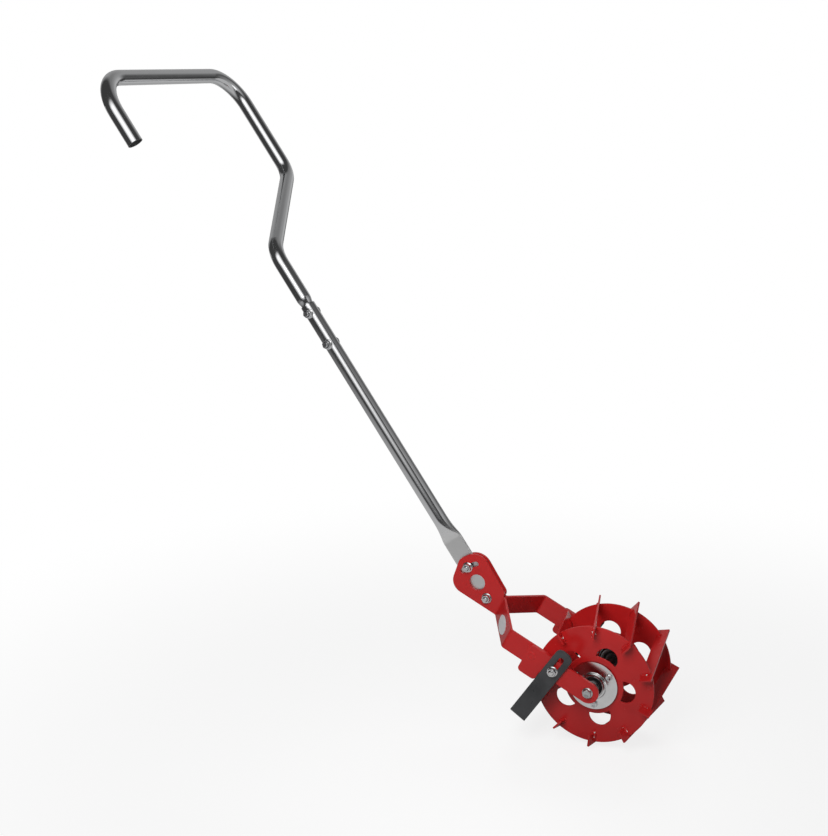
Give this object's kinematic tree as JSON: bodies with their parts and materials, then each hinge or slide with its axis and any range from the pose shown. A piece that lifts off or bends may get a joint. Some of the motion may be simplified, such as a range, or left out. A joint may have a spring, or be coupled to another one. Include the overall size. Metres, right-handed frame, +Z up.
{
  "type": "wheel weeder",
  "caption": "Hand-pushed wheel weeder: a drum of skewed blades in a bent fork, a stirrup knife behind it, and a hooked tubular push handle on a tilt clamp.",
  "frame": {"origin": "ground point under the axle, on the tool's middle plane", "axes": "+X forward, the way the tool is pushed; +Y towards the side that the handle's offset goes to; +Z up"},
  "size_m": [0.9304, 0.4404, 1.0785],
  "materials": {
    "plated_tube": "bright plated steel tube",
    "red_paint": "satin red powder coat",
    "black_paint": "satin black paint on spring steel",
    "zinc_plate": "bright zinc plate",
    "bright_steel": "turned and ground steel",
    "black_steel": "black oxide",
    "seal_rubber": "black nitrile",
    "label_film": "plain silver film"
  },
  "bodies": {
    "handle": {"upper_handle_tube": "plated_tube", "lower_handle_tube": "plated_tube", "handle_joint_bolts": "zinc_plate", "handle_joint_nuts": "zinc_plate", "tilt_clamp_bolt": "zinc_plate", "tilt_clamp_nut": "zinc_plate"},
    "fork": {"fork_leg_near": "red_paint", "fork_leg_far": "red_paint", "axle_arm_near": "red_paint", "axle_arm_far": "red_paint", "blank_label": "label_film", "tilt_pivot_bolt": "zinc_plate", "tilt_pivot_nut": "zinc_plate", "axle_shaft": "bright_steel", "axle_bolts": "zinc_plate", "knife_bolts": "zinc_plate", "knife_nuts": "zinc_plate", "bearing_inner_ring_near": "bright_steel", "bearing_inner_ring_far": "bright_steel", "bearing_grub_screws": "black_steel"},
    "wheel": {"wheel_disc_near": "red_paint", "wheel_disc_far": "red_paint", "wheel_blade_01": "red_paint", "wheel_blade_02": "red_paint", "wheel_blade_03": "red_paint", "wheel_blade_04": "red_paint", "wheel_blade_05": "red_paint", "wheel_blade_06": "red_paint", "wheel_blade_07": "red_paint", "wheel_blade_08": "red_paint", "wheel_blade_09": "red_paint", "wheel_blade_10": "red_paint", "housing_outer_near": "zinc_plate", "housing_outer_far": "zinc_plate", "housing_inner_near": "zinc_plate", "housing_inner_far": "zinc_plate", "bearing_outer_ring_near": "bright_steel", "bearing_outer_ring_far": "bright_steel", "bearing_balls_near": "bright_steel", "bearing_balls_far": "bright_steel", "bearing_cage_near": "bright_steel", "bearing_cage_far": "bright_steel", "bearing_seals_near": "seal_rubber", "bearing_seals_far": "seal_rubber", "housing_bolts": "zinc_plate", "housing_nuts": "zinc_plate"},
    "knife": {"stirrup_knife": "black_paint"}
  },
  "joints": [
    {"name": "handle_tilt", "type": "hinge", "parent": "handle", "child": "fork", "pos_m": [-0.20592, 0, 0.21154], "axis": [0, 1, 0], "range_deg": [-16, 12]},
    {"name": "wheel_spin", "type": "hinge", "parent": "fork", "child": "wheel", "pos_m": [0, 0, 0.11021], "axis": [0, 1, 0], "continuous": true},
    {"name": "knife_depth", "type": "slide", "parent": "fork", "child": "knife", "axis": [-0.5592, 0, -0.829], "range_m": [0, 0.025]}
  ]
}
